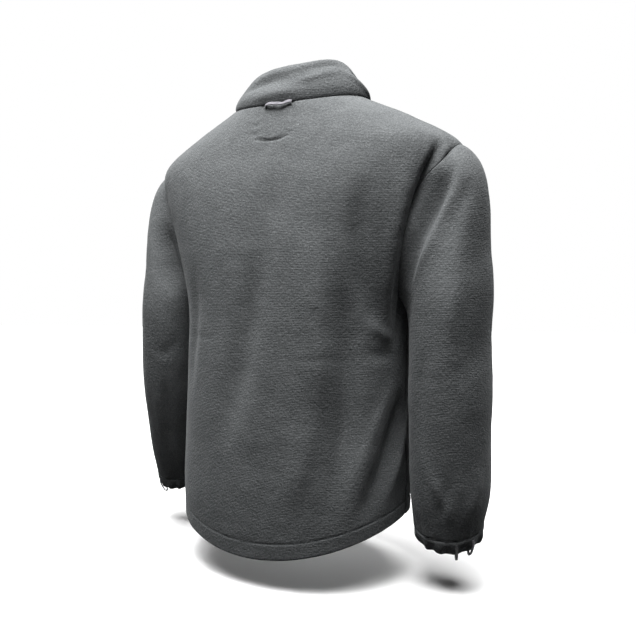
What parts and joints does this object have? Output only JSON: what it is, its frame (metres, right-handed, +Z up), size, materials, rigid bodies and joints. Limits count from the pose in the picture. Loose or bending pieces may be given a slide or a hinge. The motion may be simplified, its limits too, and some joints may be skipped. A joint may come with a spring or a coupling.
{
  "type": "fleece liner jacket",
  "caption": "Zip-front fleece liner jacket with a stand collar, turned-up hem and gathered elastic cuffs, filled out as worn.",
  "frame": {"origin": "middle of the neck opening, level with the collar seam at the shoulders", "axes": "+Z up, the wearer faces -Y, the wearer's left is at +X"},
  "size_m": [0.5886, 0.273, 0.6893],
  "materials": {
    "fleece": "matt short-pile knitted fleece",
    "elastic_binding": "matt woven elastic tape",
    "zip_tape": "woven tape",
    "zip_teeth": "moulded plastic teeth",
    "painted_slider": "black enamel"
  },
  "bodies": {
    "jacket": {"back": "fleece", "front_left": "fleece", "front_right": "fleece", "sleeve_left": "fleece", "sleeve_right": "fleece", "collar": "fleece", "cuff_left": "fleece", "cuff_right": "fleece", "zip_tape": "zip_tape", "zip_chain": "zip_teeth", "zip_slider": "painted_slider", "hanger_loop": "elastic_binding", "cuff_loop_left_1": "elastic_binding", "cuff_loop_left_2": "elastic_binding", "cuff_loop_right_1": "elastic_binding", "cuff_loop_right_2": "elastic_binding"},
    "pull": {"zip_pull": "painted_slider"}
  },
  "joints": [
    {"name": "pull_hinge", "type": "hinge", "parent": "jacket", "child": "pull", "pos_m": [0, -0.08743, -0.03541], "axis": [-1, 0, 0], "range_deg": [0, 150]}
  ]
}
